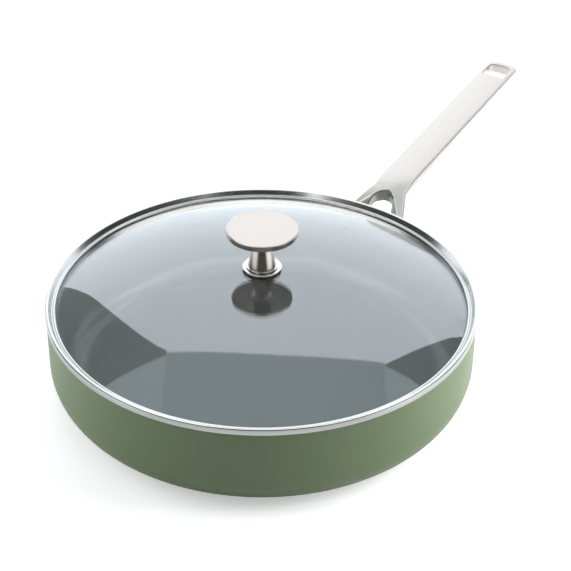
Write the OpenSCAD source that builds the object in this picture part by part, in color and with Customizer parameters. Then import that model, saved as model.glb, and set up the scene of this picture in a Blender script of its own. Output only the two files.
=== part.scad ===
// Saute pan with a domed glass lid, a forked cast handle and a round knob.
// Millimetres, +Z up. The origin is the centre of the base's underside, the handle points along +X.

/* [Pan] */
// Outside diameter of the pan at its rim
pan_outside_d = 304.8; // [250:0.2:340]
// Height from the underside of the base to the rim
pan_h = 68; // [60:1:90]
// Thickness of the aluminium wall
wall_t = 2.6; // [2:0.1:4]
// Thickness of the aluminium base
base_t = 5; // [4:0.5:7]
// Outside radius of the rounded corner between wall and base
corner_r = 30; // [20:1:32]
// Rounding of the rim's outer edge
rim_edge_r = 0.8; // [0.3:0.1:1.2]
// Height of the bare lip above the lining
rim_lip_h = 1.2; // [0.8:0.1:3]
// Thickness of the ceramic lining
lining_t = 0.4; // [0.2:0.1:0.6]

/* [Induction plate] */
// Diameter of the steel plate in the base
plate_d = 224; // [150:2:228]
// Thickness of the steel plate
plate_t = 0.9; // [0.6:0.1:1.5]
// How far the plate stands below the painted base
plate_proud = 0.3; // [0.1:0.1:0.5]
// Diameter of one pressed hole in the plate
plate_hole_d = 7; // [4:0.5:10]
// Holes in the inner ring; the outer ring has twice as many
plate_holes = 8; // [6:1:10]

/* [Handle] */
// Width of the handle's grip
grip_w = 28.6; // [24:0.2:32]
// Thickness of the grip
grip_t = 9; // [8:0.2:12]
// Radius of the crown across the grip's top
crown_r = 46; // [30:1:90]
// Rounding of the grip's top edges
grip_edge_r = 2; // [1:0.1:2.5]
// Rounding of the grip's lower edges
grip_under_r = 3; // [1:0.1:3.5]
// Length of the grip from the fork's bend to the tip, along its slope
grip_l = 201.5; // [150:0.5:240]
// Upward tilt of the grip
grip_tilt = 7.5; // [3:0.5:12]
// Distance from the pan's wall out to the fork's bend
fork_run = 33.6; // [28:0.2:40]
// Height of the fork's bend above the rim
fork_rise = 8; // [4:0.5:12]
// Downward slope of the fork's legs
leg_slope = 32; // [26:1:36]
// Spread of each leg away from the handle's middle line
leg_spread = 24.3; // [18:0.1:28]
// Width of one leg
leg_w = 10.4; // [9:0.2:11]
// Rounding of the legs' edges
leg_edge_r = 1.6; // [0.5:0.1:2]
// Rounding radius of the fork's arch
arch_r = 9.6; // [8.8:0.2:10.4]
// Distance from the fork's bend to the top of the arch
arch_apex = 4.6; // [3:0.2:6]
// Width of the bevel at the top of the arch
arch_bevel = 1.4; // [0.6:0.2:2]
// Angle of the bevel that opens along the inner side of each leg
bevel_tilt = 22; // [10:1:30]

/* [Hang hole] */
// Length of the hang hole
hole_l = 16.8; // [10:0.2:22]
// Width of the hang hole
hole_w = 19.6; // [12:0.2:20]
// Distance from the tip to the hang hole
hole_end = 5.2; // [4:0.2:10]
// Rounding of the hole's corners at the tip's side
hole_far_r = 4; // [2:0.2:5]
// Rounding of the hole's corners at the pan's side
hole_near_r = 1.8; // [1:0.2:4]
// Rounding of the tip's corners
tip_r = 4.5; // [3:0.5:8]

/* [Saddle plate and rivets] */
// Width of the saddle plate on the wall
saddle_w = 60; // [56:1:70]
// Height of the saddle plate
saddle_h = 26; // [24:1:28]
// Thickness of the saddle plate
saddle_t = 3.2; // [2.4:0.2:4]
// Corner radius of the saddle plate
saddle_corner_r = 7; // [3:0.5:10]
// Distance from the rim down to the saddle plate
saddle_drop = 10.5; // [9:0.5:12]
// Distance between the two rivets around the wall
rivet_pitch = 34; // [26:1:40]
// Diameter of a rivet's shank
rivet_d = 6.4; // [5:0.2:7]
// Diameter of the flat rivet head inside the pan
rivet_head_d = 14; // [11:0.5:16]
// Height of the flat rivet head
rivet_head_t = 1.8; // [1.2:0.1:2.4]
// Diameter of the closed rivet end on the saddle plate
rivet_end_d = 9.6; // [8:0.2:10]
// Height of the closed rivet end
rivet_end_t = 1.2; // [0.8:0.1:1.6]

/* [Lid rim] */
// How far the lid's rim stands out past the pan's rim
rim_overhang = 0.6; // [0.3:0.1:1.5]
// Gap between the pan's lining and the lid's skirt
lid_play = 1.4; // [1:0.1:1.8]
// Height of the folded band
band_h = 4.6; // [3.6:0.1:6]
// Width of the folded band
band_w = 3; // [2.6:0.1:4]
// Rounding of the band's top edges, as a share of its width
band_edge_share = 0.4; // [0.2:0.05:0.4]
// Thickness of the lid rim's sheet steel
sheet_t = 0.8; // [0.6:0.1:1]
// How far the ledge reaches in over the glass, past the inside of the skirt
ledge_lap = 1.2; // [1:0.1:1.6]
// Width of the raised lip at the ledge's free edge
lip_w = 1.2; // [1:0.1:1.3]
// Height of the lip above the ledge
lip_rise = 0.4; // [0.3:0.1:0.8]
// Radius of the crease between the lip and the ledge
crease_r = 0.4; // [0.3:0.05:0.5]
// Width of the shelf under the edge of the glass
shelf_w = 3.4; // [2.8:0.1:4]

/* [Lid glass] */
// Thickness of the glass
glass_t = 4; // [3.2:0.2:5]
// Rise of the glass from the ledge to its middle
dome_rise = 27.8; // [19:0.2:36]
// Diameter of the hole in the middle of the glass
glass_hole_d = 11; // [9:0.5:13]

/* [Knob] */
// Diameter of the knob's disc
knob_d = 50; // [40:0.5:60]
// Thickness of the disc
knob_t = 4.4; // [3:0.1:6]
// Rounding of the disc's edges
knob_edge_r = 0.8; // [0.3:0.1:1.2]
// Height of the neck from the collar to the disc
neck_h = 25.2; // [18:0.2:34]
// Diameter of the neck at its foot
neck_foot_d = 19.6; // [15:0.2:22]
// Diameter at which the neck's cone would meet the disc
neck_top_d = 7.8; // [7:0.2:12]
// Rounding of the neck's foot
neck_foot_r = 1; // [0.6:0.1:1.6]
// Radius of the sweep from neck into disc
neck_sweep_r = 4.5; // [2:0.5:6]
// Diameter of the collar
collar_d = 27.8; // [26:0.2:34]
// Thickness of the collar's flange
collar_t = 1.1; // [0.8:0.1:2]
// Diameter of the collar's raised step
step_d = 22.4; // [22:0.2:26]
// Height of the collar's raised step
step_h = 1.1; // [0.6:0.1:2]
// Diameter of the upper gasket
gasket_d = 27.4; // [25:0.2:33]
// Thickness of the upper gasket
gasket_t = 0.6; // [0.5:0.1:2]

/* [Fixing under the knob] */
// Outside diameter of the lower gasket's plate
seal_d = 24; // [20:0.5:30]
// Thickness of the lower gasket's plate
seal_t = 1.6; // [1:0.1:3]
// Wall thickness of the sleeve through the glass
sleeve_t = 1.6; // [1:0.1:2]
// Diameter of the steel washer
washer_d = 20; // [16:0.5:24]
// Thickness of the steel washer
washer_t = 1.2; // [0.8:0.1:2]
// Diameter of the screw's shank
screw_d = 5; // [4:0.5:6]
// Diameter of the screw's head
screw_head_d = 10; // [8:0.5:12]
// Height of the screw's head
screw_head_t = 3; // [2:0.2:4]
// Depth that the screw reaches into the neck
screw_reach = 14; // [8:0.5:16]
// Width of one bar of the cross in the screw's head
cross_w = 1.4; // [1:0.1:1.8]

/* [Hidden] */
// Overrun of cuts past the faces that they open
over = 1;
// Gap between a shank and its hole
shank_play = 0.05;
// Gap between pieces that rest on curved faces
seat_gap = 0.03;
// Overlap of the grip and the fork where they join
join_lap = 0.1;
$fa = 4;
$fs = 1.2;
fine_fn = 128;
mid_fn = 64;
small_fn = 32;

pan_r = pan_outside_d / 2;
inner_r = pan_r - wall_t;
lined_r = inner_r - lining_t;
hole_ring_share = 0.42;
hole_outer_share = 0.78;

bend_x = pan_r + fork_run;
bend_z = pan_h + fork_rise;
grip_half = grip_w / 2;
tip_x = grip_l;
hole_x = tip_x - hole_end - hole_l;
leg_reach_share = 1.6;
leg_l = leg_reach_share * fork_run;
leg_skew_w = leg_w / cos(leg_spread);
leg_mid_y = grip_half - leg_skew_w / 2;
leg_crown_drop = crown_r - sqrt(pow(crown_r, 2) - pow(leg_mid_y, 2));
leg_crown_slope = leg_mid_y / sqrt(pow(crown_r, 2) - pow(leg_mid_y, 2));
leg_t = grip_t - leg_crown_drop;
mitre_tilt = (grip_tilt + leg_slope) / 2;
leg_roll = atan((leg_crown_slope * cos(leg_slope) - sin(leg_spread) * sin(leg_slope)) / cos(leg_spread));
bevel_start_share = 0.26;
bevel_run_share = 0.75;
bevel_width_share = 0.75;
bevel_start = bevel_start_share * fork_run;
bevel_turn = atan(bevel_width_share * leg_w / (bevel_run_share * fork_run));
arch_x = bend_x - arch_apex - arch_r;
arch_bevel_rise = tan((90 + leg_slope) / 2);
arch_bevel_z = bend_z - arch_apex * tan(leg_slope) - arch_bevel * (arch_bevel_rise - tan(leg_slope));
arch_bevel_h = 3 * arch_bevel;
web_end_share = 0.7;
web_end_x = arch_x + arch_r * web_end_share;

saddle_z = pan_h - saddle_drop - saddle_h;
rivet_height_share = 0.32;
rivet_z = saddle_z + saddle_h * rivet_height_share;
rivet_turn = asin(rivet_pitch / 2 / pan_r);
rivet_head_x = sqrt(pow(lined_r, 2) - pow(rivet_head_d / 2, 2)) - seat_gap;
rivet_end_x = pan_r + saddle_t + seat_gap;

rim_out_r = pan_r + rim_overhang;
band_start = rim_out_r - band_w;
band_top_z = pan_h + band_h;
band_edge_r = band_edge_share * band_w;
skirt_r = lined_r - lid_play;
channel_r = skirt_r - sheet_t;
ledge_in_r = channel_r - ledge_lap;
lip_edge_share = 0.35;
lip_edge_r = lip_edge_share * lip_w;
glass_r = channel_r - 2 * seat_gap;
dome_r = (pow(ledge_in_r, 2) + pow(dome_rise, 2)) / (2 * dome_rise);
dome_top_z = pan_h - seat_gap + dome_rise;
dome_centre_z = dome_top_z - dome_r;
glass_under_z = dome_centre_z + sqrt(pow(dome_r - glass_t, 2) - pow(glass_r, 2));
shelf_z = glass_under_z - seat_gap;

gasket_z = dome_top_z + seat_gap;
collar_z = gasket_z + gasket_t;
neck_z = collar_z + collar_t + step_h;
disc_z = neck_z + neck_h;
knob_top_z = disc_z + knob_t;
neck_tilt = atan((neck_foot_d - neck_top_d) / 2 / neck_h);
sweep_z = disc_z - neck_sweep_r;
sweep_x = neck_top_d / 2 + neck_sweep_r * (tan(neck_tilt) + 1 / cos(neck_tilt));
collar_edge_share = 0.45;
under_z = dome_top_z - glass_t;
seal_z = under_z - seal_t - dome_sag(seal_d / 2) - seat_gap;
washer_z = seal_z - washer_t;
screw_top_z = neck_z + screw_reach;
screw_cone_share = 0.7;
cross_share = 0.5;
shank_bore_d = screw_d + 2 * shank_play;

// Drop of the glass's underside at a distance from its middle
function dome_sag(d) = (dome_r - glass_t) - sqrt(pow(dome_r - glass_t, 2) - pow(d, 2));

// Half section of a round cup with a rounded lower corner
module cup_section(radius, low, high, corner) {
    translate([0, low])
        square([radius - corner, high - low]);
    translate([0, low + corner])
        square([radius, high - low - corner]);
    translate([radius - corner, low + corner])
        circle(corner, $fn = fine_fn);
}

// The part of a section on the positive side of the turning axis
module lathe() {
    rotate_extrude($fn = fine_fn)
        intersection() {
            translate([0, -dome_r])
                square(2 * dome_r);
            children();
        }
}

// A bar along +X at a height and a turn around the middle axis
module around(turn, height) {
    rotate([0, 0, turn])
        translate([0, 0, height])
            rotate([0, 90, 0])
                children();
}

// Holes for the two rivets, from the inside of the pan out through the saddle plate
module rivet_bores() {
    for (side = [-1, 1])
        around(side * rivet_turn, rivet_z)
            translate([0, 0, lined_r - corner_r / 2])
                cylinder(d = rivet_d + 2 * shank_play, h = corner_r, $fn = small_fn);
}

module pan_outer_section() {
    difference() {
        cup_section(pan_r, plate_proud, pan_h, corner_r);
        translate([pan_r - rim_edge_r, pan_h - rim_edge_r])
            difference() {
                square(rim_edge_r + over);
                circle(rim_edge_r, $fn = small_fn);
            }
    }
}

module plate_rings(count, ring_r) {
    for (i = [0 : count - 1])
        rotate([0, 0, (2 * i + 1) * 180 / count])
            translate([ring_r, 0, -over])
                cylinder(d = plate_hole_d, h = plate_t + 2 * over, $fn = small_fn);
}

module pan_body() {
    color([0.34, 0.39, 0.30])
        difference() {
            lathe()
                difference() {
                    pan_outer_section();
                    cup_section(inner_r, base_t, pan_h - rim_lip_h, corner_r - wall_t);
                    translate([0, pan_h - rim_lip_h - over])
                        square([lined_r, rim_lip_h + 2 * over]);
                }
            translate([0, 0, -over])
                cylinder(d = plate_d + 2 * shank_play, h = plate_t + over + seat_gap, $fn = fine_fn);
            rivet_bores();
        }
}

module ceramic_lining() {
    color([0.25, 0.26, 0.25])
        difference() {
            lathe()
                difference() {
                    cup_section(inner_r - seat_gap, base_t + seat_gap, pan_h - rim_lip_h - seat_gap, corner_r - wall_t);
                    cup_section(lined_r, base_t + lining_t, pan_h, corner_r - wall_t - lining_t);
                }
            rivet_bores();
        }
}

module induction_plate() {
    color([0.70, 0.70, 0.69])
        difference() {
            cylinder(d = plate_d, h = plate_t, $fn = fine_fn);
            plate_rings(plate_holes, plate_d / 2 * hole_ring_share);
            plate_rings(2 * plate_holes, plate_d / 2 * hole_outer_share);
        }
}

// Section of the grip: crowned top, rounded edges, flat underside
module grip_section() {
    edge_y = grip_half - grip_edge_r;
    edge_z = sqrt(pow(crown_r - grip_edge_r, 2) - pow(edge_y, 2)) - crown_r;
    touch_y = edge_y * crown_r / (crown_r - grip_edge_r);
    intersection() {
        translate([0, -crown_r])
            circle(crown_r, $fn = 2 * fine_fn);
        translate([-touch_y, -grip_t / 2])
            square([2 * touch_y, grip_t]);
    }
    for (side = [-1, 1]) {
        translate([side * edge_y, edge_z])
            circle(grip_edge_r, $fn = small_fn);
        translate([side * (grip_half - grip_under_r), grip_under_r - grip_t])
            circle(grip_under_r, $fn = small_fn);
    }
    translate([-grip_half, grip_under_r - grip_t])
        square([grip_w, edge_z + grip_t - grip_under_r]);
    translate([grip_under_r - grip_half, -grip_t])
        square([grip_w - 2 * grip_under_r, grip_t / 2]);
}

// Section of one leg: a bar with four rounded edges, its top at zero
module leg_section() {
    translate([-leg_w / 2, leg_edge_r - leg_t])
        square([leg_w, leg_t - 2 * leg_edge_r]);
    translate([leg_edge_r - leg_w / 2, -leg_t])
        square([leg_w - 2 * leg_edge_r, leg_t]);
    for (side = [-1, 1], level = [-leg_edge_r, leg_edge_r - leg_t])
        translate([side * (leg_w / 2 - leg_edge_r), level])
            circle(leg_edge_r, $fn = small_fn);
}

// Turns a shape drawn along the grip up to the grip's tilt and out to the fork's bend
module grip_frame() {
    translate([bend_x, 0, bend_z])
        rotate([0, -grip_tilt, 0])
            children();
}

// A section drawn across, run out along +X
module along(length) {
    rotate([90, 0, 90])
        linear_extrude(length)
            children();
}

// Outline of the hang hole seen from above, near corners at the pan's side
module hang_hole_outline() {
    half = hole_w / 2;
    translate([hole_x + hole_near_r, -half])
        square([hole_l - hole_near_r - hole_far_r, hole_w]);
    translate([hole_x, hole_near_r - half])
        square([hole_l / 2, hole_w - 2 * hole_near_r]);
    translate([hole_x + hole_l / 2, hole_far_r - half])
        square([hole_l / 2, hole_w - 2 * hole_far_r]);
    for (side = [-1, 1]) {
        translate([hole_x + hole_near_r, side * (half - hole_near_r)])
            circle(hole_near_r, $fn = small_fn);
        translate([hole_x + hole_l - hole_far_r, side * (half - hole_far_r)])
            circle(hole_far_r, $fn = small_fn);
    }
}

// Outline that rounds the tip's corners seen from above
module tip_outline() {
    translate([-grip_t, -grip_w])
        square([tip_x - tip_r + grip_t, 2 * grip_w]);
    translate([0, tip_r - grip_half])
        square([tip_x, grip_w - 2 * tip_r]);
    for (side = [-1, 1])
        translate([tip_x - tip_r, side * (grip_half - tip_r)])
            circle(tip_r, $fn = 2 * small_fn);
}

// All that lies on the pan's side of the fork's bend, from a distance on
module pan_side(distance) {
    translate([bend_x, 0, bend_z])
        rotate([0, -mitre_tilt, 0])
            translate([-leg_l - distance, -leg_l, -leg_l])
                cube([leg_l, 2 * leg_l, 2 * leg_l]);
}

module grip() {
    difference() {
        grip_frame()
            intersection() {
                translate([-grip_t, 0, 0])
                    along(grip_l + grip_t)
                        grip_section();
                translate([0, 0, -grip_w])
                    linear_extrude(2 * grip_w)
                        tip_outline();
            }
        grip_frame()
            translate([0, 0, -grip_w])
                linear_extrude(2 * grip_w)
                    hang_hole_outline();
        pan_side(join_lap);
    }
}

// A shape drawn along a leg, turned to the slope down toward the pan
module leg_frame(side) {
    translate([bend_x, side * leg_mid_y, bend_z])
        rotate([0, 0, side * -leg_spread])
            rotate([0, leg_slope, 180])
                translate([0, 0, -leg_crown_drop])
                    rotate([side * leg_roll, 0, 0])
                        children();
}

// One leg, from behind the bend in and down to the saddle plate
module leg(side) {
    leg_frame(side)
        translate([-leg_w, 0, 0])
            along(leg_l + leg_w)
                leg_section();
}

// The bevel that widens down the inner side of one leg
module leg_bevel(side) {
    intersection() {
        leg_frame(side)
            translate([bevel_start, side * leg_w / 2, 0])
                rotate([0, 0, side * -bevel_turn])
                    rotate([side * -bevel_tilt, 0, 0])
                        translate([0, side > 0 ? 0 : -grip_w, 0])
                            cube([leg_l, grip_w, grip_w]);
        translate([0, side > 0 ? 0 : -pan_r, 0])
            cube([bend_x, pan_r, bend_z + grip_w]);
    }
}

// The crowned web between the legs, up to where the arch opens into the fork
module web() {
    intersection() {
        translate([bend_x, 0, bend_z])
            rotate([0, leg_slope, 180])
                translate([-leg_w, 0, 0])
                    along(fork_run + leg_w)
                        grip_section();
        translate([web_end_x, -grip_half, 0])
            cube([fork_run, grip_w, bend_z + grip_w]);
    }
}

// The opening between the legs: upright, with a bevel round the top of the arch
module arch_cut() {
    translate([arch_x, 0, 0])
        cylinder(r = arch_r, h = bend_z + grip_w, $fn = mid_fn);
    translate([arch_x, 0, arch_bevel_z])
        cylinder(r1 = arch_r, r2 = arch_r + arch_bevel_h / arch_bevel_rise, h = arch_bevel_h, $fn = mid_fn);
}

// Legs and web, cut off where the grip begins and round where the arch opens
module fork() {
    intersection() {
        difference() {
            union() {
                leg(1);
                leg(-1);
                web();
            }
            leg_bevel(1);
            leg_bevel(-1);
            arch_cut();
            cylinder(r = pan_r + seat_gap, h = bend_z + grip_w, $fn = fine_fn);
        }
        pan_side(0);
    }
}

// The curved plate on the wall that carries both legs
module saddle_plate() {
    intersection() {
        difference() {
            cylinder(r = pan_r + saddle_t, h = pan_h, $fn = fine_fn);
            translate([0, 0, -over])
                cylinder(r = pan_r + seat_gap, h = pan_h + 2 * over, $fn = fine_fn);
        }
        translate([0, 0, saddle_z])
            rotate([90, 0, 90])
                linear_extrude(pan_outside_d)
                    saddle_outline();
    }
}

module saddle_outline() {
    half = saddle_w / 2;
    translate([-half, saddle_corner_r])
        square([saddle_w, saddle_h - 2 * saddle_corner_r]);
    translate([saddle_corner_r - half, 0])
        square([saddle_w - 2 * saddle_corner_r, saddle_h]);
    for (side = [-1, 1], level = [saddle_corner_r, saddle_h - saddle_corner_r])
        translate([side * (half - saddle_corner_r), level])
            circle(saddle_corner_r, $fn = small_fn);
}

module handle() {
    color([0.80, 0.79, 0.77])
        difference() {
            union() {
                grip();
                fork();
                saddle_plate();
            }
            rivet_bores();
        }
}

// One rivet: flat head inside the pan, shank, closed end on the saddle plate
module rivet(side) {
    around(side * rivet_turn, rivet_z) {
        translate([0, 0, rivet_head_x - rivet_head_t])
            rivet_dome(rivet_head_d, rivet_head_t, -1);
        translate([0, 0, rivet_head_x - rivet_head_t / 2])
            cylinder(d = rivet_d, h = rivet_end_x - rivet_head_x + rivet_head_t, $fn = small_fn);
        translate([0, 0, rivet_end_x])
            rivet_dome(rivet_end_d, rivet_end_t, 1);
    }
}

// A low round head with a bevelled edge, thick at the foot; facing 1 or -1 along its axis
module rivet_dome(diameter, height, facing) {
    bevel = height / 2;
    narrow = diameter - 2 * bevel;
    cylinder(d1 = facing > 0 ? diameter : narrow, d2 = facing > 0 ? narrow : diameter, h = height, $fn = mid_fn);
}

module rivet_left() {
    color([0.75, 0.75, 0.74])
        rivet(1);
}

module rivet_right() {
    color([0.75, 0.75, 0.74])
        rivet(-1);
}

// The folded steel rim: a band on the pan's rim, a sunken ledge and a lip over the glass, a skirt, a shelf
module lid_rim() {
    color([0.76, 0.76, 0.74])
        lathe() {
            band_section();
            ledge_section();
            translate([ledge_in_r, pan_h])
                lip_section();
            translate([channel_r, shelf_z - sheet_t])
                square([sheet_t, pan_h - shelf_z + 2 * sheet_t]);
            translate([skirt_r - shelf_w, shelf_z - sheet_t])
                square([shelf_w, sheet_t]);
        }
}

// The band: two walls and a top with rounded edges, open underneath
module band_section() {
    difference() {
        union() {
            translate([band_start, pan_h])
                square([band_w, band_h - band_edge_r]);
            translate([band_start + band_edge_r, pan_h])
                square([band_w - 2 * band_edge_r, band_h]);
            for (edge = [band_start + band_edge_r, rim_out_r - band_edge_r])
                translate([edge, band_top_z - band_edge_r])
                    circle(band_edge_r, $fn = small_fn);
        }
        translate([band_start + sheet_t, pan_h - over])
            square([band_w - 2 * sheet_t, band_h - sheet_t + over]);
    }
}

// The ledge: a strip from the band's inner wall in to the lip, with the crease pressed into it
module ledge_section() {
    difference() {
        translate([ledge_in_r + lip_edge_r, pan_h])
            square([band_start + sheet_t / 2 - ledge_in_r - lip_edge_r, sheet_t]);
        translate([ledge_in_r + lip_w + crease_r / 2, pan_h + sheet_t])
            circle(crease_r, $fn = small_fn);
    }
}

// The lip along the glass: a small bar with four rounded edges
module lip_section() {
    lip_h = sheet_t + lip_rise;
    translate([0, lip_edge_r])
        square([lip_w, lip_h - 2 * lip_edge_r]);
    translate([lip_edge_r, 0])
        square([lip_w - 2 * lip_edge_r, lip_h]);
    for (edge = [lip_edge_r, lip_w - lip_edge_r], level = [lip_edge_r, lip_h - lip_edge_r])
        translate([edge, level])
            circle(lip_edge_r, $fn = small_fn);
}

module dome_shell(top_r) {
    translate([0, dome_centre_z])
        circle(top_r, $fn = 4 * fine_fn);
}

module lid_glass() {
    color([0.72, 0.78, 0.80, 0.35])
        lathe()
            intersection() {
                difference() {
                    dome_shell(dome_r);
                    dome_shell(dome_r - glass_t);
                }
                translate([glass_hole_d / 2, 0])
                    square([glass_r - glass_hole_d / 2, knob_top_z]);
            }
}

// The turned knob: a thin disc on a neck that widens to its foot
module knob() {
    color([0.84, 0.82, 0.79])
        difference() {
            lathe() {
                round_plate_section(knob_d / 2, disc_z, knob_t, knob_edge_r);
                knob_neck_section();
            }
            translate([0, 0, neck_z - over])
                cylinder(d = shank_bore_d, h = screw_reach + 2 * over, $fn = small_fn);
        }
}

// Half section of a round plate with rounded edges
module round_plate_section(radius, low, height, edge_r) {
    translate([0, low])
        square([radius - edge_r, height]);
    translate([0, low + edge_r])
        square([radius, height - 2 * edge_r]);
    for (level = [low + edge_r, low + height - edge_r])
        translate([radius - edge_r, level])
            circle(edge_r, $fn = small_fn);
}

// Half section of the neck: a rounded foot, a straight cone and a sweep into the disc
module knob_neck_section() {
    foot_r = neck_foot_d / 2;
    top_r = neck_top_d / 2;
    touch_x = sweep_x - neck_sweep_r * cos(neck_tilt);
    touch_z = sweep_z - neck_sweep_r * sin(neck_tilt);
    root_z = disc_z + knob_t / 2;
    difference() {
        polygon([[0, neck_z], [foot_r, neck_z], [top_r, disc_z], [top_r, root_z], [0, root_z]]);
        translate([foot_r - neck_foot_r, neck_z - over])
            difference() {
                square(neck_foot_r + over);
                translate([0, neck_foot_r + over])
                    circle(neck_foot_r, $fn = small_fn);
            }
    }
    difference() {
        polygon([[0, touch_z], [touch_x, touch_z], [sweep_x, disc_z], [sweep_x, root_z], [0, root_z]]);
        translate([sweep_x, sweep_z])
            circle(neck_sweep_r, $fn = mid_fn);
    }
}

// A round plate with the screw's hole through it, standing on a height
module pierced_plate(diameter, low, height) {
    translate([0, 0, low])
        difference() {
            cylinder(d = diameter, h = height, $fn = mid_fn);
            translate([0, 0, -over])
                cylinder(d = shank_bore_d, h = height + 2 * over, $fn = small_fn);
        }
}

// The collar under the neck: a flange with a raised step
module knob_collar() {
    color([0.80, 0.79, 0.76]) {
        difference() {
            lathe()
                round_plate_section(collar_d / 2, collar_z, collar_t, collar_edge_share * collar_t);
            translate([0, 0, collar_z - over])
                cylinder(d = shank_bore_d, h = collar_t + 2 * over, $fn = small_fn);
        }
        pierced_plate(step_d, collar_z, collar_t + step_h - seat_gap);
    }
}

module knob_gasket() {
    color([0.13, 0.13, 0.13])
        pierced_plate(gasket_d, gasket_z, gasket_t - seat_gap);
}

// The soft ring under the glass, with a sleeve that lines the hole
module lower_gasket() {
    color([0.16, 0.16, 0.16]) {
        pierced_plate(seal_d, seal_z, seal_t);
        pierced_plate(screw_d + 2 * sleeve_t, seal_z, gasket_z - seat_gap - seal_z);
    }
}

module knob_washer() {
    color([0.72, 0.72, 0.71])
        pierced_plate(washer_d, washer_z, washer_t - seat_gap);
}

// The screw that pulls the stack together, with a cross in its head
module knob_screw() {
    half_head = screw_head_t / 2;
    head_z = washer_z - screw_head_t - seat_gap;
    cross_l = cross_share * screw_head_d;
    color([0.68, 0.68, 0.67])
        difference() {
            union() {
                translate([0, 0, head_z])
                    cylinder(d1 = screw_head_d * screw_cone_share, d2 = screw_head_d, h = half_head, $fn = mid_fn);
                translate([0, 0, head_z + half_head])
                    cylinder(d = screw_head_d, h = half_head, $fn = mid_fn);
                translate([0, 0, head_z + half_head])
                    cylinder(d = screw_d, h = screw_top_z - head_z - half_head, $fn = small_fn);
            }
            for (turn = [0, 90])
                rotate([0, 0, turn])
                    translate([-cross_l / 2, -cross_w / 2, head_z - over])
                        cube([cross_l, cross_w, half_head + over]);
        }
}

pan_body();
ceramic_lining();
induction_plate();
handle();
rivet_left();
rivet_right();
lid_rim();
lid_glass();
knob();
knob_collar();
knob_gasket();
lower_gasket();
knob_washer();
knob_screw();
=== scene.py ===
# Studio picture of the saute pan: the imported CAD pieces, a softly cast handle and a rolled rim in the place
# of their solids, procedural materials and soft light.
import math

import bpy
from mathutils import Matrix, Vector


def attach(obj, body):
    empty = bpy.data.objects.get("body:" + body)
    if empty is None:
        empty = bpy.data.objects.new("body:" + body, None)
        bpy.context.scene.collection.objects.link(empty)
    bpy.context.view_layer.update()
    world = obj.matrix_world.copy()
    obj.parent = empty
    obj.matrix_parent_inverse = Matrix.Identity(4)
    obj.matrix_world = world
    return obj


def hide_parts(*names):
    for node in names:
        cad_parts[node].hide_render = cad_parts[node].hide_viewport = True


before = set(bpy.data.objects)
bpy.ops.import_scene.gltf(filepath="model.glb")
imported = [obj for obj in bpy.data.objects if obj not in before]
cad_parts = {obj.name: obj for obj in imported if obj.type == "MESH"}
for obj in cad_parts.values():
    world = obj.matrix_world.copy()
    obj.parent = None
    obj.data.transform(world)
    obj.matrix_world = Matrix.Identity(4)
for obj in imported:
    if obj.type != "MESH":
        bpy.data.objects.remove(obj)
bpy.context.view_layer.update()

MM = 0.001
WHITE = (1, 1, 1, 1)

# Camera, at the photograph's angle
CAMERA_PLACE = Vector((-0.78223, -0.50798, 0.6923))
CAMERA_FORWARD = Vector((0.70945, 0.44298, -0.54813))
CAMERA_RIGHT = Vector((0.53527, -0.84462, 0.01021))
CAMERA_LENS = 99.49
SENSOR_WIDTH = 36

# Studio, in a frame of its own from the pan's middle axis on the floor: forward, which is the camera's
# direction laid flat, right and up, in metres
STUDIO_TURN = math.atan2(CAMERA_FORWARD.y, CAMERA_FORWARD.x)
FORWARD_AXIS = (math.cos(STUDIO_TURN), math.sin(STUDIO_TURN), 0)
FRONT_DISTANCE = 1.6
LEFT_WALL = -0.845
RIGHT_WALL = 1.06

# Back panel
BACK_DISTANCE = 1.45
BACK_HEIGHT = 3.3
BACK_MARGIN = 0.2

# Back edges of walls and ceiling: a wall's bows out away from its middle height, the ceiling's bows in
WALL_REACH = 1.21
WALL_BOW_HEIGHT = 1.6
WALL_BOW_LIMIT = 1.36
WALL_STEPS = 10
CEILING_HEIGHT = 2.2
CEILING_REACH = 1.25
CEILING_BOW = 0.2
CEILING_STEPS = 8

# Each side: where its wall stands, where its wing starts and how high it is, how strongly its wall bows,
# and the heights at which its brow's lower edge starts and ends
SIDES = {
    "left": {
        "place": LEFT_WALL,
        "wing_start": 0.4,
        "wing_height": 0.44,
        "bow": 0.2,
        "brow_back": 0.75,
        "brow_front": 1.3,
    },
    "right": {
        "place": RIGHT_WALL,
        "wing_start": 0.6,
        "wing_height": 0.95,
        "bow": 0.03,
        "brow_back": 0.9,
        "brow_front": 1.55,
    },
}

# Slopes: brighter sheets just inside the walls' upper parts, whose back edges lean
SLOPE_LOW = (0.5, 1.2)
SLOPE_HIGH = 1.21
SLOPE_INSET = 0.006

# Cloths: low sheets beside the pan that show in its wall and rim
CLOTH_START = -0.5
CLOTH_GAP = 0.06
CLOTH_TOP = 0.12
CLOTH_INSET = 0.012

# Brows and screens: strong sheets high up and dark ones below them. The inner side of the lid's rim is dark
# where the camera sees it, because it mirrors a screen, and bright in the glass, where it mirrors a brow.
BROW_INSET = 0.018
CEILING_BROW_END = -0.7

# Colour and strength of each kind of sheet
GLOWS = {
    "back": ((0.87, 0.93, 1, 1), 1.95),
    "ceiling": ((0.8, 0.95, 1, 1), 0.85),
    "wing": ((0.87, 0.93, 1, 1), 1.75),
    "wall": ((0.9, 1, 1, 1), 0.41),
    "slope": ((0.82, 0.96, 1, 1), 1.0),
    "screen": (WHITE, 0.05),
    "brow": (WHITE, 3.2),
    "left_cloth": ((0.955, 1, 0.985, 1), 0.78),
    "right_cloth": ((0.955, 1, 0.985, 1), 1.7),
}

# Lamps beside the pan, each with its place and power
LAMPS = {"key": ((0.2, 1.6, 0.7), 57), "fill": ((0.3, -1.6, 0.7), 36)}
LAMP_AIM = (0, 0, 0.03)
LAMP_SIZE = 1.4

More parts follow.
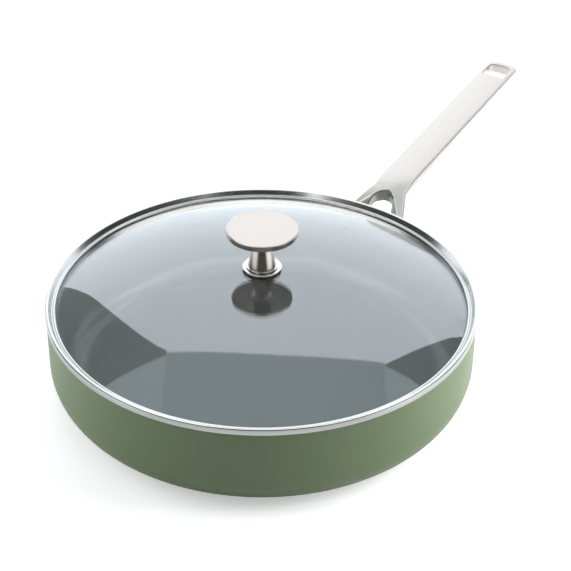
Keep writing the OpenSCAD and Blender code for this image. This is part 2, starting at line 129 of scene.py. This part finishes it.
# World: an even fill on matt surfaces, and in metal and glass a white sky, which dims upwards between the
# low and the high share of up in a direction, and is dim on the camera's side
AMBIENT_LIGHT = 0.12
LOW_SKY = 0.25
HIGH_SKY = 0.5
HIGH_SKY_LIGHT = 0.15
CAMERA_SIDE_LIGHT = 0.12

# Share of forward in a direction: below the first number the direction is on the camera's side, above the
# second it isn't
CAMERA_SIDE = (-0.8, -0.6)

# Floor: the glow that makes it white, the distances over which its mirror image gets light or dark, and
# those over which the floor itself turns quite white to the camera
FLOOR_SIZE = 12
FLOOR_DROP = 0.0003
FLOOR_LIFT = 0.43
FLOOR_MIRROR_FADE = (0.2, 0.45)
FLOOR_WHITE_FADE = (0.5, 1.2)
FLOOR_COLOURS = ((0.8, 0.8, 0.8, 1), (0.82, 0.82, 0.82, 1))
FLOOR_DARK = (0.08, 0.08, 0.08, 1)

# Colours of the pan, mostly as a pair between which a material varies
ENAMEL_COLOURS = ((0.118, 0.158, 0.079, 1), (0.135, 0.178, 0.092, 1))
ENAMEL_FLECK = (0.16, 0.2, 0.11, 1)
LINING_COLOURS = ((0.024, 0.026, 0.0255, 1), (0.032, 0.0345, 0.034, 1))
LINING_FLECK = (0.07, 0.075, 0.075, 1)
COATED_HEAD = (0.03, 0.032, 0.031, 1)
# Handle's steel, then a darker copy of it that is painted shade on the fork's faces that look sideways
UNSHADED_STEEL_COLOURS = ((0.514, 0.471, 0.435, 1), (0.572, 0.526, 0.487, 1))
SHADED_SIDE_COLOURS = ((0.36, 0.355, 0.33, 1), (0.42, 0.412, 0.385, 1))
GLASS_COLOURS = ((0.93, 0.965, 0.965, 1), (0.95, 0.975, 0.975, 1))
SILICONE_COLOURS = ((0.012, 0.012, 0.012, 1), (0.03, 0.03, 0.03, 1))

# Turned steels: dark and light colour, range of roughness, depth of the rings, and rings in a metre
TURNED_STEELS = {
    "base_steel": ((0.52, 0.52, 0.51, 1), (0.66, 0.66, 0.65, 1), (0.28, 0.42), 0.02 * MM, 2600),
    "rivet_steel": ((0.52, 0.51, 0.5, 1), (0.6, 0.59, 0.58, 1), (0.26, 0.36), 0.01 * MM, 5200),
    "rim_steel": ((0.52, 0.52, 0.5, 1), (0.59, 0.59, 0.57, 1), (0.14, 0.24), 0.006 * MM, 5200),
    "knob_steel": ((0.475, 0.425, 0.385, 1), (0.54, 0.485, 0.44, 1), (0.14, 0.24), 0.01 * MM, 5200),
    "collar_steel": ((0.58, 0.57, 0.55, 1), (0.64, 0.63, 0.61, 1), (0.14, 0.22), 0.005 * MM, 5200),
    "screw_steel": ((0.58, 0.58, 0.57, 1), (0.68, 0.68, 0.67, 1), (0.24, 0.36), 0.01 * MM, 5200),
}

# Share of a turned steel's wear that follows its rings
RING_WEAR = 0.6

# Strongest share of a fleck's colour in enamel and lining
FLECK_SHARE = 0.25

# Lining: the height at which its floor begins to rise, over which it turns smooth, and both roughnesses
LINING_FLOOR = 5.4 * MM
LINING_FADE = 1.2 * MM
LINING_MATTE = 0.6
LINING_SMOOTH = 0.16

# Distance from the middle axis at which the lining ends, for the rivets' inner heads
LINED_RADIUS = 149.4 * MM

# Refraction of the glass: above the 1.52 of real glass, so that its reflections are as strong as in the
# photograph
GLASS_IOR = 1.95

# Outline of the lid's rim in millimetres: a flat-topped band, a sloping inner side, a ledge and a lip
BAND_OUT = 152.95
BAND_TOP = 72.6
BAND_EDGE = 1.1
BAND_INNER_EDGE = 0.35
BAND_FLAT = 1.1
BAND_WALL = 0.8
BAND_CORE = 1.4
SLOPE_ANGLE = 60
SEAT_LEVEL = 68.0
LEDGE_LEVEL = 68.9
LEDGE_FILLET = 0.6
CREASE_PLACE = 147.6
CREASE_DEPTH = 0.3
LIP_IN = 146.0
LIP_OUT = 147.3
LIP_EDGE = 0.3
SKIRT_IN = 147.2
SKIRT_OUT = 148.0
SHELF_IN = 144.6
SHELF_LEVEL = 63.18
SHEET = 0.8
ARC_STEPS = 5
RIM_STEPS = 256
SHARP_ANGLE = math.radians(25)

# Handle's surface: how finely it is cast, how far its edges are softened, where it bends, the difference
# between the slopes of its legs and grip, and how soft the bend is
CAST_VOXEL = 0.5 * MM
CAST_SMOOTHING = 6
CAST_SMOOTH_FACTOR = 0.5
BEND_X = 186 * MM
BEND_SLOPE = 0.493
BEND_SOFTNESS = 9 * MM

# Fork's legs: the line along which each is folded, and how steeply its inner side falls away
RIDGE_START = (181 * MM, 5.5 * MM)
RIDGE_TURN = math.radians(40)
RIDGE_FALL = 0.65
RIDGE_LIMIT = 5 * MM
RIDGE_RAMP = 4.5 * MM
RIDGE_LAST = 156 * MM
RIDGE_FADE = 8 * MM

# Handle's painted shade: its steel is painted darker as shade on the fork's faces that look sideways. The
# unshaded colour sets in over these distances, and nearer the pan over these shares of up in a face's
# direction
UNSHADED_GRIP_DISTANCE = (183 * MM, 187 * MM)
UNSHADED_UPWARD = (0.77, 0.83)

# Numbers of a Mix node's sockets: the factor, and for each kind first and second input and result
MIX_FACTOR = 0
MIX_SOCKETS = {"FLOAT": (2, 3, 0), "RGBA": (6, 7, 2)}


def add(tree, kind, inputs=None, **settings):
    """A node with its settings. Inputs go by name or number, each set to a value or joined to an output."""
    made = tree.nodes.new(kind)
    for name, value in settings.items():
        setattr(made, name, value)
    for name, value in (inputs or {}).items():
        join(tree, made.inputs[name], value)
    return made


def join(tree, socket, value):
    """Sets a socket to a value, or links it to an output."""
    if isinstance(value, bpy.types.NodeSocket):
        tree.links.new(value, socket)
    else:
        socket.default_value = value


def maths(tree, operation, first, second=0.0):
    """A calculation on one or two numbers."""
    return add(tree, "ShaderNodeMath", {0: first, 1: second}, operation=operation).outputs[0]


def component(tree, vector, axis):
    """A vector's X, Y or Z."""
    return add(tree, "ShaderNodeSeparateXYZ", {"Vector": vector}).outputs[axis]


def noise(tree, place, scale, detail=3.0, roughness=0.5, dimensions="3D"):
    """A noise pattern; scale is in features per metre."""
    place_input = "W" if dimensions == "1D" else "Vector"
    made = add(
        tree,
        "ShaderNodeTexNoise",
        {place_input: place, "Scale": scale, "Detail": detail, "Roughness": roughness},
        noise_dimensions=dimensions,
    )
    return made.outputs["Fac"]


def ramp(tree, value, start, end, low=0.0, high=1.0):
    """A number that goes from low to high while the value goes from start to end."""
    made = add(
        tree,
        "ShaderNodeMapRange",
        {"Value": value, "From Min": start, "From Max": end, "To Min": low, "To Max": high},
    )
    return made.outputs["Result"]


def spread(tree, value, low, high):
    """A value from 0 to 1 spread between two numbers."""
    return ramp(tree, value, 0, 1, low, high)


def blend(tree, kind, factor, first, second):
    """A mix of two numbers, kind FLOAT, or of two colours, kind RGBA."""
    first_input, second_input, result = MIX_SOCKETS[kind]
    inputs = {MIX_FACTOR: factor, first_input: first, second_input: second}
    return add(tree, "ShaderNodeMix", inputs, data_type=kind).outputs[result]


def blend_colours(tree, factor, first, second):
    """A mix of two colours."""
    return blend(tree, "RGBA", factor, first, second)


def bump(tree, height, distance, strength=1.0, under=None):
    """A bump from a height pattern; distance is its real depth in metres."""
    inputs = {"Height": height, "Distance": distance, "Strength": strength}
    if under is not None:
        inputs["Normal"] = under
    return add(tree, "ShaderNodeBump", inputs).outputs["Normal"]


def new_material(name, **fixed):
    """A material with a Principled shader whose constant inputs are set on its own sockets."""
    material = bpy.data.materials.new(name)
    material.use_nodes = True
    tree = material.node_tree
    shader = tree.nodes["Principled BSDF"]
    for label, value in fixed.items():
        shader.inputs[label.replace("_", " ")].default_value = value
    return material, tree, shader


def new_object(name, data):
    """A mesh, lamp or camera as an object of the scene."""
    made = bpy.data.objects.new(name, data)
    bpy.context.scene.collection.objects.link(made)
    return made


def object_place(tree):
    """The point on the object, in metres."""
    return add(tree, "ShaderNodeTexCoord").outputs["Object"]


def axis_distance(tree):
    """Distance of the point from the middle axis, in metres."""
    parts = add(tree, "ShaderNodeSeparateXYZ", {"Vector": object_place(tree)})
    across = maths(tree, "MULTIPLY", parts.outputs["X"], parts.outputs["X"])
    along = maths(tree, "MULTIPLY", parts.outputs["Y"], parts.outputs["Y"])
    return maths(tree, "SQRT", maths(tree, "ADD", across, along))


def turned_place(tree):
    """Distance from the middle axis plus height, which grows along a turned piece's walls and flat faces."""
    return maths(tree, "ADD", axis_distance(tree), component(tree, object_place(tree), "Z"))


def beside_camera_side(tree, direction):
    """0 where a direction points to the camera's side, 1 where it points elsewhere."""
    along = add(tree, "ShaderNodeVectorMath", {0: direction, 1: FORWARD_AXIS}, operation="DOT_PRODUCT")
    return ramp(tree, along.outputs["Value"], *CAMERA_SIDE)


def ray_kinds(tree):
    """1 for rays that see a surface straight or through glass, for mirrored rays, and for diffuse rays."""
    path = add(tree, "ShaderNodeLightPath").outputs
    straight = maths(tree, "MAXIMUM", path["Is Camera Ray"], path["Is Transmission Ray"])
    return straight, path["Is Glossy Ray"], path["Is Diffuse Ray"]


def enamel():
    """Semi-gloss olive enamel: soft colour drift, pale flecks, fine orange peel, duller in places."""
    material, tree, shader = new_material(
        "enamel", Coat_Weight=0.05, Coat_Roughness=0.16, Specular_IOR_Level=0.3
    )
    place = object_place(tree)
    drift = noise(tree, place, scale=14)
    fleck = noise(tree, place, scale=900, detail=2)
    peel = noise(tree, place, scale=420, detail=1)
    wear = noise(tree, place, scale=60, detail=5)
    colour = blend_colours(tree, drift, *ENAMEL_COLOURS)
    tint = blend_colours(tree, spread(tree, fleck, 0, FLECK_SHARE), colour, ENAMEL_FLECK)
    join(tree, shader.inputs["Base Color"], tint)
    join(tree, shader.inputs["Roughness"], spread(tree, wear, low=0.3, high=0.42))
    join(tree, shader.inputs["Normal"], bump(tree, peel, distance=0.02 * MM, strength=0.5))
    return material


def lining():
    """Dark grey ceramic with faint speckle: matte on the cooking floor, smoother up the corner and wall."""
    material, tree, shader = new_material("lining", Specular_IOR_Level=0.5)
    place = object_place(tree)
    speckle = noise(tree, place, scale=1600, detail=1)
    cloud = noise(tree, place, scale=18, detail=4)
    colour = blend_colours(tree, cloud, *LINING_COLOURS)
    tint = blend_colours(tree, spread(tree, speckle, 0, FLECK_SHARE), colour, LINING_FLECK)
    height = component(tree, place, "Z")
    smoother = ramp(tree, height, LINING_FLOOR, LINING_FLOOR + LINING_FADE, LINING_MATTE, LINING_SMOOTH)
    worn = maths(tree, "ADD", smoother, spread(tree, cloud, low=-0.05, high=0.05))
    join(tree, shader.inputs["Base Color"], tint)
    join(tree, shader.inputs["Roughness"], worn)
    join(tree, shader.inputs["Normal"], bump(tree, speckle, distance=0.008 * MM, strength=0.4))
    return material


def cast_steel():
    """Satin cast stainless with fine grain, its colour painted darker as shade on the fork's faces that look
    sideways.
    """
    material, tree, shader = new_material("cast_steel", Metallic=1.0)
    place = object_place(tree)
    grain = noise(tree, place, scale=1500, detail=2)
    cloud = noise(tree, place, scale=45, detail=4)
    wave = noise(tree, place, scale=70, detail=1)
    unshaded_colour = blend_colours(tree, cloud, *UNSHADED_STEEL_COLOURS)
    # A darker steel colour with grain, painted as shade on the fork's faces that look sideways
    shaded_side_colour = blend_colours(tree, grain, *SHADED_SIDE_COLOURS)
    facing = add(tree, "ShaderNodeTexCoord").outputs["Normal"]
    grip = ramp(tree, component(tree, place, "X"), *UNSHADED_GRIP_DISTANCE)
    topside = ramp(tree, component(tree, facing, "Z"), *UNSHADED_UPWARD)
    # Faces that look up, and the whole grip, keep the unshaded colour; the other faces get the painted shade
    unshaded = maths(tree, "MAXIMUM", grip, topside)
    join(tree, shader.inputs["Base Color"], blend_colours(tree, unshaded, shaded_side_colour, unshaded_colour))
    join(tree, shader.inputs["Roughness"], spread(tree, cloud, low=0.3, high=0.4))
    rough = bump(tree, grain, distance=0.012 * MM, strength=0.5)
    join(tree, shader.inputs["Normal"], bump(tree, wave, distance=0.1 * MM, strength=0.3, under=rough))
    return material


def turned_steel(name):
    """Steel turned on a lathe: fine rings that follow the outline, with slight variation."""
    dark, light, roughness, depth, rings = TURNED_STEELS[name]
    material, tree, shader = new_material(name, Metallic=1.0, Anisotropic=0.2)
    place = object_place(tree)
    ring = noise(tree, turned_place(tree), scale=rings, detail=4, roughness=0.7, dimensions="1D")
    cloud = noise(tree, place, scale=160, detail=3)
    fleck = noise(tree, place, scale=2600, detail=1)
    tint = blend_colours(tree, spread(tree, ring, low=0.2, high=0.8), dark, light)
    ring_wear = maths(tree, "MULTIPLY", ring, RING_WEAR)
    cloud_wear = maths(tree, "MULTIPLY", cloud, 1 - RING_WEAR)
    worn = maths(tree, "ADD", ring_wear, cloud_wear)
    rough = bump(tree, fleck, distance=depth, strength=0.4)
    tangent = add(tree, "ShaderNodeTangent", direction_type="RADIAL", axis="Z")
    join(tree, shader.inputs["Base Color"], tint)
    join(tree, shader.inputs["Roughness"], spread(tree, worn, *roughness))
    join(tree, shader.inputs["Normal"], bump(tree, ring, distance=depth, strength=0.6, under=rough))
    join(tree, shader.inputs["Tangent"], tangent.outputs["Tangent"])
    return material


def coat_inner_head(material):
    """Turns a rivet's material into the lining's dark coating where the head stands inside the pan."""
    tree = material.node_tree
    shader = tree.nodes["Principled BSDF"]
    outside = maths(tree, "GREATER_THAN", axis_distance(tree), LINED_RADIUS)
    steel = shader.inputs["Base Color"].links[0].from_socket
    worn = shader.inputs["Roughness"].links[0].from_socket
    join(tree, shader.inputs["Base Color"], blend_colours(tree, outside, COATED_HEAD, steel))
    join(tree, shader.inputs["Metallic"], outside)
    join(tree, shader.inputs["Roughness"], blend(tree, "FLOAT", outside, LINING_SMOOTH, worn))


def clear_glass():
    """Clear tempered glass with a cool tint and the slight waviness of a bent pane."""
    material, tree, shader = new_material(
        "lid_glass", Transmission_Weight=1.0, IOR=GLASS_IOR, Roughness=0.0
    )
    cloud = noise(tree, object_place(tree), scale=9, detail=1)
    join(tree, shader.inputs["Base Color"], blend_colours(tree, cloud, *GLASS_COLOURS))
    join(tree, shader.inputs["Normal"], bump(tree, cloud, distance=0.05 * MM, strength=0.1))
    return material


def silicone():
    """Matte dark silicone with a dusty bloom."""
    material, tree, shader = new_material("silicone", Specular_IOR_Level=0.35)
    place = object_place(tree)
    bloom = noise(tree, place, scale=240, detail=4)
    grain = noise(tree, place, scale=1800)
    join(tree, shader.inputs["Base Color"], blend_colours(tree, bloom, *SILICONE_COLOURS))
    join(tree, shader.inputs["Roughness"], spread(tree, bloom, low=0.5, high=0.68))
    join(tree, shader.inputs["Normal"], bump(tree, grain, distance=0.02 * MM, strength=0.4))
    return material


def light_material(name, colour, strength):
    """A glowing surface of the studio."""
    material = bpy.data.materials.new(name)
    material.use_nodes = True
    tree = material.node_tree
    tree.nodes.clear()
    glow = add(tree, "ShaderNodeEmission", {"Color": colour, "Strength": strength})
    add(tree, "ShaderNodeOutputMaterial", {"Surface": glow.outputs[0]})
    return material


def floor_material():
    """A pale matte floor, white to the camera and through glass where no shadow falls, more so far away.

    In metal and glass it shows dark on the camera's side and white elsewhere, but close by just as it is lit.
    """
    material, tree, shader = new_material("floor", Roughness=0.9, Specular_IOR_Level=0.0)
    place = object_place(tree)
    straight, mirrored, _ = ray_kinds(tree)
    outward = add(tree, "ShaderNodeVectorMath", {0: place}, operation="NORMALIZE").outputs["Vector"]
    beside = beside_camera_side(tree, outward)
    distance = axis_distance(tree)
    far_mirrored = maths(tree, "MULTIPLY", mirrored, ramp(tree, distance, *FLOOR_MIRROR_FADE))
    lifted = maths(tree, "MULTIPLY", far_mirrored, beside)
    darkened = maths(tree, "MULTIPLY", far_mirrored, maths(tree, "SUBTRACT", 1.0, beside))
    shown = maths(tree, "MULTIPLY", straight, ramp(tree, distance, *FLOOR_WHITE_FADE, low=FLOOR_LIFT))
    lift = maths(tree, "MAXIMUM", shown, maths(tree, "MULTIPLY", lifted, FLOOR_LIFT))
    colour = blend_colours(tree, noise(tree, place, scale=300), *FLOOR_COLOURS)
    join(tree, shader.inputs["Base Color"], blend_colours(tree, darkened, colour, FLOOR_DARK))
    join(tree, shader.inputs["Emission Strength"], lift)
    join(tree, shader.inputs["Emission Color"], WHITE)
    return material


def studio_point(place):
    """A point of the studio (forward, right, up) in the part's frame."""
    forward, right, up = place
    turn = Matrix.Rotation(STUDIO_TURN, 3, "Z")
    return turn @ Vector((forward, -right, up))


def stage_sheet(name, corners, material):
    """A flat sheet of the studio, corners given as (forward, right, up)."""
    mesh = bpy.data.meshes.new(name)
    mesh.from_pydata([studio_point(corner) for corner in corners], [], [tuple(range(len(corners)))])
    mesh.materials.append(material)
    sheet = new_object(name, mesh)
    return sheet


def glowing_sheet(name, corners, material, lights_matt=True):
    """A sheet that only metal and glass show, and that lights matt surfaces too unless told not to."""
    sheet = stage_sheet(name, corners, material)
    sheet.visible_camera = False
    sheet.visible_shadow = False
    sheet.visible_diffuse = lights_matt


def upright_outline(start, end, height):
    """Corners of a sheet that stands on the floor between two points of the floor plan (forward, right)."""
    return [(*start, 0), (*end, 0), (*end, height), (*start, height)]


def level_outline(start, end, height):
    """Corners of a sheet that lies level between the walls, from one forward distance to another."""
    return [
        (start, LEFT_WALL, height),
        (start, RIGHT_WALL, height),
        (end, RIGHT_WALL, height),
        (end, LEFT_WALL, height),
    ]


def inside(side, inset):
    """Place across the studio of a sheet that hangs a little inside a side wall."""
    return side["place"] - math.copysign(inset, side["place"])


def wall_outline(side):
    """A side wall above its wing; its back edge bows away below and above the middle height."""
    place = side["place"]
    low = side["wing_height"]
    back = []
    for step in range(WALL_STEPS + 1):
        height = low + (CEILING_HEIGHT - low) * step / WALL_STEPS
        reach = WALL_REACH + side["bow"] * (WALL_BOW_HEIGHT - height) ** 2
        back.append((min(reach, WALL_BOW_LIMIT), place, height))
    return back + [(-FRONT_DISTANCE, place, CEILING_HEIGHT), (-FRONT_DISTANCE, place, low)]


def slope_outline(side):
    """The brighter sheet in front of the upper part of a side wall."""
    inner = inside(side, SLOPE_INSET)
    reach, low = SLOPE_LOW
    return [
        (-FRONT_DISTANCE, inner, low),
        (reach, inner, low),
        (SLOPE_HIGH, inner, CEILING_HEIGHT),
        (-FRONT_DISTANCE, inner, CEILING_HEIGHT),
    ]


def brow_outline(side, level):
    """A side's brow or screen, which lies between the sloping line that parts the two and a level."""
    inner = inside(side, BROW_INSET)
    end = side["wing_start"] - CLOTH_GAP
    return [
        (end, inner, side["brow_back"]),
        (-FRONT_DISTANCE, inner, side["brow_front"]),
        (-FRONT_DISTANCE, inner, level),
        (end, inner, level),
    ]


def ceiling_outline():
    """The ceiling sheet, its back edge bowed towards the camera in the middle."""
    back = []
    for step in range(CEILING_STEPS + 1):
        share = step / CEILING_STEPS
        reach = CEILING_REACH - CEILING_BOW * math.sin(math.pi * share)
        back.append((reach, LEFT_WALL + share * (RIGHT_WALL - LEFT_WALL), CEILING_HEIGHT))
    front = [(-FRONT_DISTANCE, RIGHT_WALL, CEILING_HEIGHT), (-FRONT_DISTANCE, LEFT_WALL, CEILING_HEIGHT)]
    return back + front


def build_side(name, side, glows):
    """One side: a wing and low wall, wall and slope above them, and a screen, a brow and a cloth inside."""
    place = side["place"]
    start = side["wing_start"]
    height = side["wing_height"]
    wing = upright_outline((start, place), (BACK_DISTANCE, place), height)
    low_wall = upright_outline((-FRONT_DISTANCE, place), (start, place), height)
    inner = inside(side, CLOTH_INSET)
    cloth = upright_outline((CLOTH_START, inner), (start - CLOTH_GAP, inner), CLOTH_TOP)
    glowing_sheet(f"{name}_wing", wing, glows["wing"])
    glowing_sheet(f"{name}_low_wall", low_wall, glows["wall"], lights_matt=False)
    glowing_sheet(f"{name}_wall", wall_outline(side), glows["wall"])
    glowing_sheet(f"{name}_slope", slope_outline(side), glows["slope"], lights_matt=False)
    glowing_sheet(f"{name}_screen", brow_outline(side, CLOTH_TOP), glows["screen"], lights_matt=False)
    glowing_sheet(f"{name}_brow", brow_outline(side, CEILING_HEIGHT), glows["brow"], lights_matt=False)
    glowing_sheet(f"{name}_cloth", cloth, glows[f"{name}_cloth"])


def build_studio():
    """Floor, two lamps, and a box of glowing sheets that light the pan and show in its glass and steel."""
    half = FLOOR_SIZE / 2
    floor = [(-half, -half), (half, -half), (half, half), (-half, half)]
    stage_sheet("floor", [(*corner, -FLOOR_DROP) for corner in floor], floor_material())
    glows = {}
    for kind, (colour, strength) in GLOWS.items():
        glows[kind] = light_material(f"{kind}_light", colour, strength)
    back_start = (BACK_DISTANCE, LEFT_WALL - BACK_MARGIN)
    back_end = (BACK_DISTANCE, RIGHT_WALL + BACK_MARGIN)
    glowing_sheet("back_panel", upright_outline(back_start, back_end, BACK_HEIGHT), glows["back"])
    glowing_sheet("ceiling_panel", ceiling_outline(), glows["ceiling"])
    for name, side in SIDES.items():
        build_side(name, side, glows)
    ceiling_brow = level_outline(-FRONT_DISTANCE, CEILING_BROW_END, CEILING_HEIGHT - BROW_INSET)
    glowing_sheet("ceiling_brow", ceiling_brow, glows["brow"], lights_matt=False)
    for name, (place, power) in LAMPS.items():
        build_lamp(name, place, power)


def build_lamp(name, place, power):
    """A soft lamp beside the pan that models its wall and stays out of its reflections."""
    data = bpy.data.lights.new(name, "AREA")
    data.size = LAMP_SIZE
    data.energy = power
    lamp = new_object(name, data)
    lamp.location = studio_point(place)
    lamp.rotation_euler = (studio_point(LAMP_AIM) - lamp.location).to_track_quat("-Z", "Y").to_euler()
    lamp.visible_camera = False
    lamp.visible_glossy = False
    lamp.visible_transmission = False


def build_world():
    """White to the camera and through glass, dimmed in metal and glass, and an even fill on matt surfaces."""
    world = bpy.data.worlds.new("studio")
    bpy.context.scene.world = world
    world.use_nodes = True
    tree = world.node_tree
    tree.nodes.clear()
    direction = add(tree, "ShaderNodeTexCoord").outputs["Generated"]
    sky = ramp(tree, component(tree, direction, "Z"), LOW_SKY, HIGH_SKY, low=1.0, high=HIGH_SKY_LIGHT)
    around = spread(tree, beside_camera_side(tree, direction), CAMERA_SIDE_LIGHT, 1)
    straight, mirrored, diffuse = ray_kinds(tree)
    shown = maths(tree, "MULTIPLY", mirrored, maths(tree, "MULTIPLY", around, sky))
    fill = maths(tree, "MULTIPLY", diffuse, AMBIENT_LIGHT)
    strength = maths(tree, "MAXIMUM", maths(tree, "MAXIMUM", straight, shown), fill)
    background = add(tree, "ShaderNodeBackground", {"Color": WHITE, "Strength": strength})
    add(tree, "ShaderNodeOutputWorld", {"Surface": background.outputs[0]})


def build_camera():
    """The camera at the photograph's place and angle."""
    data = bpy.data.cameras.new("camera")
    data.lens = CAMERA_LENS
    data.sensor_width = SENSOR_WIDTH
    camera = new_object("camera", data)
    forward = CAMERA_FORWARD.normalized()
    right = (CAMERA_RIGHT - forward * CAMERA_RIGHT.dot(forward)).normalized()
    up = right.cross(forward)
    turn = Matrix((right, up, -forward)).transposed()
    camera.matrix_world = Matrix.Translation(CAMERA_PLACE) @ turn.to_4x4()
    bpy.context.scene.camera = camera


def dress(node, material):
    """Gives a CAD node a material on every slot."""
    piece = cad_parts[node]
    for slot in piece.material_slots:
        slot.material = material
    return piece


def cast_handle(material):
    """The handle as it is cast: the CAD solid softly rounded all over, its bend widened, its legs folded."""
    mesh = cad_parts["handle"].data.copy()
    mesh.name = "handle_cast"
    piece = new_object("handle_cast", mesh)
    remesh = piece.modifiers.new("remesh", "REMESH")
    remesh.mode = "VOXEL"
    remesh.voxel_size = CAST_VOXEL
    smooth = piece.modifiers.new("smooth", "SMOOTH")
    smooth.factor = CAST_SMOOTH_FACTOR
    smooth.iterations = CAST_SMOOTHING
    apply_modifiers(piece)
    soften_bend(piece.data)
    fold_legs(piece.data)
    for face in piece.data.polygons:
        face.use_smooth = True
    piece.data.materials.clear()
    piece.data.materials.append(material)
    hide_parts("handle")
    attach(piece, "pan")


def apply_modifiers(piece):
    """Turns a piece's modifiers into its mesh."""
    bpy.context.view_layer.update()
    graph = bpy.context.evaluated_depsgraph_get()
    shaped = bpy.data.meshes.new_from_object(piece.evaluated_get(graph))
    old = piece.data
    piece.modifiers.clear()
    piece.data = shaped
    bpy.data.meshes.remove(old)


def soften_bend(mesh):
    """Lowers the metal round the fork's bend, so that the grip runs into the legs in a wide curve."""
    for vertex in mesh.vertices:
        spare = BEND_SOFTNESS - BEND_SLOPE * abs(vertex.co.x - BEND_X)
        if spare > 0:
            vertex.co.z -= spare * spare / (4 * BEND_SOFTNESS)


def fold_legs(mesh):
    """Lets each leg's inner side fall away from a ridge that runs from the arch out to the leg's far edge."""
    start_x, start_y = RIDGE_START
    for vertex in mesh.vertices:
        along = start_x - vertex.co.x
        ridge_y = start_y + along * math.tan(RIDGE_TURN)
        inward = (ridge_y - abs(vertex.co.y)) * math.cos(RIDGE_TURN)
        share = min(1, along / RIDGE_RAMP, (vertex.co.x - RIDGE_LAST) / RIDGE_FADE)
        if share > 0 and inward > 0:
            vertex.co.z -= min(RIDGE_FALL * inward, RIDGE_LIMIT) * share


def arc(centre, radius, start, end):
    """Points along an arc of an outline, angles in degrees."""
    points = []
    for step in range(ARC_STEPS + 1):
        angle = math.radians(start + (end - start) * step / ARC_STEPS)
        points.append((centre[0] + radius * math.cos(angle), centre[1] + radius * math.sin(angle)))
    return points


def rim_outline():
    """Half section of the lid's rim, from the band's foot over its top and in to the lip, skirt and shelf."""
    edge = (BAND_OUT - BAND_EDGE, BAND_TOP - BAND_EDGE)
    inner_edge = (edge[0] - BAND_FLAT, BAND_TOP - BAND_INNER_EDGE)
    top = arc(edge, BAND_EDGE, 0, 90) + arc(inner_edge, BAND_INNER_EDGE, 90, 90 + SLOPE_ANGLE)
    leaning = math.radians(SLOPE_ANGLE)
    fillet_level = LEDGE_LEVEL + LEDGE_FILLET
    fillet_start = fillet_level - LEDGE_FILLET * math.cos(leaning)
    run = (top[-1][1] - fillet_start) / math.tan(leaning)
    fillet = (top[-1][0] - run - LEDGE_FILLET * math.sin(leaning), fillet_level)
    inner = arc(fillet, LEDGE_FILLET, SLOPE_ANGLE - 90, -90)
    crease = arc((CREASE_PLACE, LEDGE_LEVEL), CREASE_DEPTH, 0, -180)
    lip = arc((LIP_OUT - LIP_EDGE, LEDGE_LEVEL), LIP_EDGE, 0, 90)[1:]
    lip += arc((LIP_IN + LIP_EDGE, LEDGE_LEVEL), LIP_EDGE, 90, 180)
    skirt = [
        (LIP_IN, SEAT_LEVEL),
        (SKIRT_IN, SEAT_LEVEL),
        (SKIRT_IN, SHELF_LEVEL),
        (SHELF_IN, SHELF_LEVEL),
        (SHELF_IN, SHELF_LEVEL - SHEET),
        (SKIRT_OUT, SHELF_LEVEL - SHEET),
        (SKIRT_OUT, SEAT_LEVEL),
    ]
    core_out = BAND_OUT - BAND_WALL
    core_in = core_out - BAND_CORE
    core_top = BAND_TOP - BAND_WALL
    core = [(core_in, SEAT_LEVEL), (core_in, core_top), (core_out, core_top), (core_out, SEAT_LEVEL)]
    return top + inner + crease + lip + skirt + core + [(BAND_OUT, SEAT_LEVEL)]


def turned_piece(name, outline, steps):
    """A closed outline (radius, height) in millimetres, turned round the middle axis."""
    verts = []
    for step in range(steps):
        angle = 2 * math.pi * step / steps
        verts += [(r * MM * math.cos(angle), r * MM * math.sin(angle), z * MM) for r, z in outline]
    count = len(outline)
    faces = []
    for step in range(steps):
        here = step * count
        there = (step + 1) % steps * count
        for point in range(count):
            after = (point + 1) % count
            faces.append((here + point, there + point, there + after, here + after))
    mesh = bpy.data.meshes.new(name)
    mesh.from_pydata(verts, [], faces)
    for face in mesh.polygons:
        face.use_smooth = True
    mesh.set_sharp_from_angle(angle=SHARP_ANGLE)
    return new_object(name, mesh)


def rolled_rim(material):
    """The lid's rim with the soft slopes that rolling leaves on its section."""
    piece = turned_piece("rim_rolled", rim_outline(), RIM_STEPS)
    piece.data.materials.append(material)
    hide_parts("lid_rim")
    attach(piece, "lid")


def build_pan():
    """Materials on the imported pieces, and the cast handle and rolled rim in the place of their solids."""
    dress("pan_body", enamel())
    dress("ceramic_lining", lining())
    dress("induction_plate", turned_steel("base_steel"))
    rivet = turned_steel("rivet_steel")
    coat_inner_head(rivet)
    dress("rivet_left", rivet)
    dress("rivet_right", rivet)
    rolled_rim(turned_steel("rim_steel"))
    glass = dress("lid_glass", clear_glass())
    # The glass keeps no light from the lining below it
    glass.visible_shadow = False
    glass.visible_diffuse = False
    dress("knob", turned_steel("knob_steel"))
    dress("knob_collar", turned_steel("collar_steel"))
    soft = silicone()
    dress("knob_gasket", soft)
    dress("lower_gasket", soft)
    screw = turned_steel("screw_steel")
    dress("knob_washer", screw)
    dress("knob_screw", screw)
    cast_handle(cast_steel())


build_camera()
build_world()
build_studio()
build_pan()
bpy.context.scene.view_settings.view_transform = "Standard"
